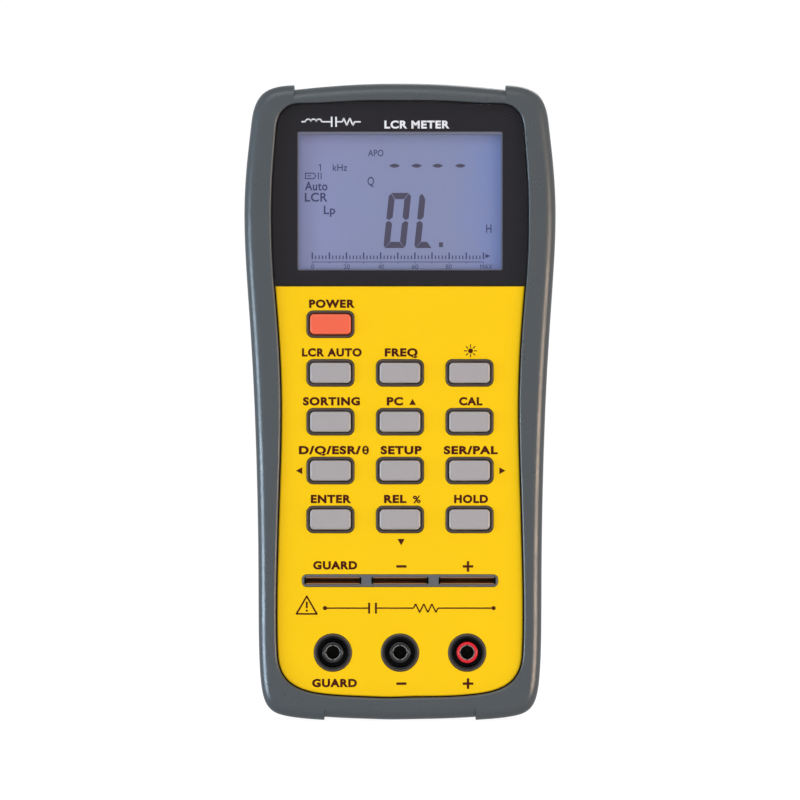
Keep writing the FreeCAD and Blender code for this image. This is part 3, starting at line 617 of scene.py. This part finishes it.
def print_head(materials):
    """Printing on the black head: the type words and three plain circuit symbols."""
    ink = materials["white_ink"]
    print_words("head_type", "LCR METER", -4.6, 14.6, 174.6, 2.35, MASK_FRONT, ink, 0.04)
    z, plate = 176.6, 1.5
    coil = [(-29.1, z), (-27.9, z)]
    for index in range(3):
        coil += half_loop(-27.1 + 1.6 * index, z, 0.8)
    coil.append((-22.0, z))
    shapes = stroke(coil, SIGN_LINE)
    shapes += stroke([(-22.0, z), (-20.4, z)], SIGN_LINE)
    shapes += [rectangle(-20.4, -19.9, z - plate, z + plate), rectangle(-19.1, -18.6, z - plate, z + plate)]
    shapes += stroke([(-18.6, z), (-17.0, z)], SIGN_LINE)
    shapes += stroke(zigzag(-17.0, -16.6, 0.9, 4, -13.4, z, 1.1) + [(-11.6, z)], SIGN_LINE)
    print_shapes("head_symbols", shapes, MASK_FRONT, ink)


# ---------------------------------------------------------------- display picture
# Millimetres, apart from the lean, which is a slope.
READING_BASE, READING_HEIGHT, SEGMENT = 139.4, 16.3, 1.85
READING_LEAN = 0.105
BAR_START, BAR_PITCH, BAR_STEPS = -25.9, 1.01, 50
DASHES = (-1.6, 4.9, 11.1, 17.8)

# Piece name, words, left and right ends, baseline and height of capitals in millimetres, weight.
DISPLAY_WORDS = [
    ("auto_off", "APO", -9.45, -4.9, 166.5, 1.9, 0.01),
    ("frequency", "kHz", -19.85, -15.6, 162.2, 2.0, 0.01),
    ("auto", "Auto", -28.1, -21.4, 156.4, 2.6, 0.02),
    ("types", "LCR", -28.1, -21.4, 153.1, 2.6, 0.02),
    ("mode", "Lp", -22.5, -19.1, 149.4, 2.5, 0.02),
    ("quality", "Q", -9.6, -7.65, 157.9, 2.5, 0.01),
    ("unit", "H", 25.4, 27.0, 143.9, 2.5, 0.01),
]
# Words under the bar scale, with their middle and width in millimetres.
BAR_LABELS = [
    ("0", -25.8, 0.8), ("20", -15.7, 1.8), ("40", -5.6, 1.8),
    ("60", 4.45, 1.8), ("80", 14.4, 1.8), ("MAX", 25.5, 3.6),
]


def slanted(outline):
    """Lean an outline of the reading to the right above its base line."""
    return [(x + (z - READING_BASE) * READING_LEAN, z) for x, z in outline]


def digit_segments(x, width, lit):
    """Mitred bars of one seven-bar figure, named a to f clockwise from the top."""
    gap = 0.12
    z, thick, half = READING_BASE, SEGMENT, SEGMENT / 2
    right, top, middle = x + width, z + READING_HEIGHT, z + READING_HEIGHT / 2
    inner_left, inner_right = x + thick, right - thick
    shapes = {
        "a": [(x + gap * 2 + 0.5, top), (right - gap * 2 - 0.5, top), (inner_right - gap, top - thick),
              (inner_left + gap, top - thick)],
        "b": [(right, top - 0.9), (right, middle + half * 0.6), (right - half, middle + gap),
              (inner_right, middle + half), (inner_right, top - thick - 0.1), (right - 0.75, top - 0.25)],
        "c": [(right, middle - half * 0.6), (right, z + 0.9), (right - 0.5, z + 0.15),
              (inner_right, z + thick + 0.1), (inner_right, middle - half), (right - half, middle - gap)],
        "d": [(inner_left + gap, z + thick), (inner_right - gap, z + thick), (right - gap * 2 - 0.2, z),
              (x + gap * 2 + 0.2, z)],
        "e": [(x, middle - half * 0.6), (x + half, middle - gap), (inner_left, middle - half),
              (inner_left, z + thick + 0.1), (x + 0.5, z + 0.15), (x, z + 0.9)],
        "f": [(x, top - 0.9), (x + 0.75, top - 0.25), (inner_left, top - thick - 0.1),
              (inner_left, middle + half), (x + half, middle + gap), (x, middle + half * 0.6)],
    }
    return [slanted(shapes[name]) for name in lit]


def dash(x):
    """Outline of a small pointed dash, one of the row over the reading."""
    turns = [math.radians(12 * k) for k in range(30)]
    return [
        (x + 1.7 * math.cos(turn), 163.7 + 0.58 * math.sin(turn) ** 3 * (1.0 + 0.4 * math.cos(turn) ** 2))
        for turn in turns
    ]


def bar_scale():
    """Base line, ticks and end arrow of the bar scale, with every fifth tick longer."""
    shapes = [rectangle(BAR_START, BAR_START + BAR_STEPS * BAR_PITCH, 135.2, 135.4)]
    for index in range(BAR_STEPS + 1):
        x = BAR_START + index * BAR_PITCH
        major = index % 5 == 0
        half, top = (0.2, 138.1) if major else (0.16, 137.2)
        shapes.append(rectangle(x - half, x + half, 136.1, top))
        if major:
            shapes.append(rectangle(x - 0.1, x + 0.1, 134.85, 135.2))
    shapes.append([(25.2, 136.4), (26.7, 137.05), (25.2, 137.7)])
    return shapes


def circuit_icon():
    """Small signs at the left: a cell with a pointed end, two bars, and the figure 1 of the frequency."""
    line = 0.28
    left, right, low, high = -28.0, -25.3, 159.9, 161.5
    middle = (low + high) / 2
    shapes = stroke([(left, low), (right, low)], line) + stroke([(left, high), (right, high)], line)
    shapes += stroke([(left + 0.1, low), (left + 0.1, high)], line)
    shapes += stroke([(right, low), (right + 0.4, middle), (right, high)], line)
    shapes += stroke([(-27.3, middle), (-26.3, middle)], line)
    for x in (-24.1, -23.3):
        shapes += stroke([(x, 159.7), (x, 161.7)], line)
    shapes += stroke([(-24.0, 163.75), (-23.45, 164.15), (-23.45, 162.2)], 0.26)
    return shapes


def print_display(materials):
    """Everything the switched-on display shows: an overload reading and its settings."""
    dark = materials["segment_dark"]
    fine = materials["segment_fine"]
    reading = digit_segments(-4.95, 6.6, "abcdef") + digit_segments(4.15, 5.6, "def")
    reading.append(rectangle(11.5, 12.7, 139.7, 141.1))
    print_shapes("reading", reading, GLASS_FRONT, dark)
    print_shapes("dashes", [dash(x) for x in DASHES], GLASS_FRONT, dark)
    print_shapes("bar_scale", bar_scale(), GLASS_FRONT, fine)
    for name, words, left, right, base, height, weight in DISPLAY_WORDS:
        print_words("display_" + name, words, left, right, base, height, GLASS_FRONT, fine, weight)
    for words, x, width in BAR_LABELS:
        left, right = x - width / 2, x + width / 2
        print_words("display_label_" + words, words, left, right, 133.25, 1.3, GLASS_FRONT, fine, 0.0)
    print_shapes("circuit_icon", circuit_icon(), GLASS_FRONT, fine)


def add_display_surround(materials):
    """Thin grey frame between the mask and the glass, a little narrower at the back."""
    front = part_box("display_mask")[1].y
    back = front + 1.3 * MM
    outer = (30.9, 132.35, 174.15)
    window_front = (29.95, 133.0, 172.9)
    window_back = (29.8, 133.1, 172.75)
    form = bmesh.new()
    loops = []
    for y, (half, low, high) in ((front, outer), (front, window_front), (back, window_back), (back, outer)):
        corners = ((-half, low), (half, low), (half, high), (-half, high))
        loops.append([form.verts.new((x * MM, y, z * MM)) for x, z in corners])
    for first, second in zip(loops, loops[1:] + loops[:1]):
        bridge(form, first, second)
    bmesh.ops.recalc_face_normals(form, faces=form.faces)
    mesh = mesh_of(form, "display_surround")
    add_piece("display_surround", mesh, materials["surround_grey"])


# ---------------------------------------------------------------- stage, light and camera
def add_stage(material):
    """Large pale floor that curves up into a wall all round. Its faces look inwards."""
    floor_radius, bend, height, sides, steps = 4.0, 2.0, 5.0, 96, 12
    profile = [(0.5, 0.0), (1.5, 0.0), (floor_radius, 0.0)]
    for index in range(1, steps + 1):
        angle = math.radians(90 * index / steps)
        profile.append((floor_radius + bend * math.sin(angle), bend * (1 - math.cos(angle))))
    profile.append((floor_radius + bend, height))
    turns = [2 * math.pi * k / sides for k in range(sides)]
    form = bmesh.new()
    rings = [
        [form.verts.new((radius * math.cos(turn), radius * math.sin(turn), z)) for turn in turns]
        for radius, z in profile
    ]
    form.faces.new(rings[0])
    for lower, upper in zip(rings, rings[1:]):
        bridge(form, upper, lower)
    mesh = mesh_of(form, "stage")
    mesh.materials.append(material)
    stage = add_object("stage", mesh)
    stage.visible_diffuse = False
    stage.visible_glossy = False


def add_light(name, place, target, size, power, colour=(1, 1, 1), size_y=None):
    """Soft area light aimed at a point."""
    lamp = bpy.data.lights.new(name, "AREA")
    lamp.energy = power
    lamp.color = colour
    lamp.size = size
    if size_y:
        lamp.shape = "RECTANGLE"
        lamp.size_y = size_y
    holder = add_object(name, lamp)
    holder.location = place
    holder.rotation_euler = (Vector(target) - Vector(place)).to_track_quat("-Z", "Y").to_euler()


def add_lights():
    """Front light from above, a cool and a warm strip for the rim's edges, a back light and a dim sky."""
    middle = (0.0, 0.0, 0.095)
    cool, warm = (0.66, 0.83, 1.0), (1.0, 0.75, 0.56)
    add_light("front_top", (-0.4, -1.6, 1.5), middle, 1.2, 8.9)
    add_light("strip_left", (-0.66, -0.28, -0.02), (0.0, 0.0, 0.03), 0.34, 5.5, cool, 0.26)
    add_light("strip_right", (0.62, -0.42, 0.015), (0.0, 0.0, 0.045), 0.42, 4.5, warm, 0.24)
    add_light("back", (0.5, 1.4, 1.3), middle, 1.0, 10.0)
    world = bpy.data.worlds.new("studio")
    world.use_nodes = True
    background = world.node_tree.nodes["Background"]
    background.inputs["Color"].default_value = (0.95, 0.97, 1.0, 1.0)
    background.inputs["Strength"].default_value = 0.6
    bpy.context.scene.world = world


def add_camera():
    """Long lens straight in front of the face."""
    distance = 3.0
    view_width = 235.7 * MM
    view_middle = 94.55 * MM
    front = cad_box[0][1]
    camera = bpy.data.cameras.new("camera")
    camera.sensor_width = 36.0
    camera.lens = camera.sensor_width * distance / view_width
    camera.clip_start = 0.05
    camera.clip_end = 50.0
    holder = add_object("camera", camera)
    holder.location = (0.0, front - distance, view_middle)
    holder.rotation_euler = (math.radians(90), 0, 0)
    bpy.context.scene.camera = holder


def set_view():
    """Plain colour response, so that the finishes keep their own colours."""
    view = bpy.context.scene.view_settings
    view.view_transform = "Standard"
    view.look = "None"
    view.exposure = 0.0


# ---------------------------------------------------------------- build
materials = make_materials()
dress_nodes(materials)
print_legends(materials)
print_discharge_sign(materials)
print_head(materials)
print_display(materials)
add_display_surround(materials)
add_stage(materials["stage_pale"])
add_lights()
add_camera()
set_view()
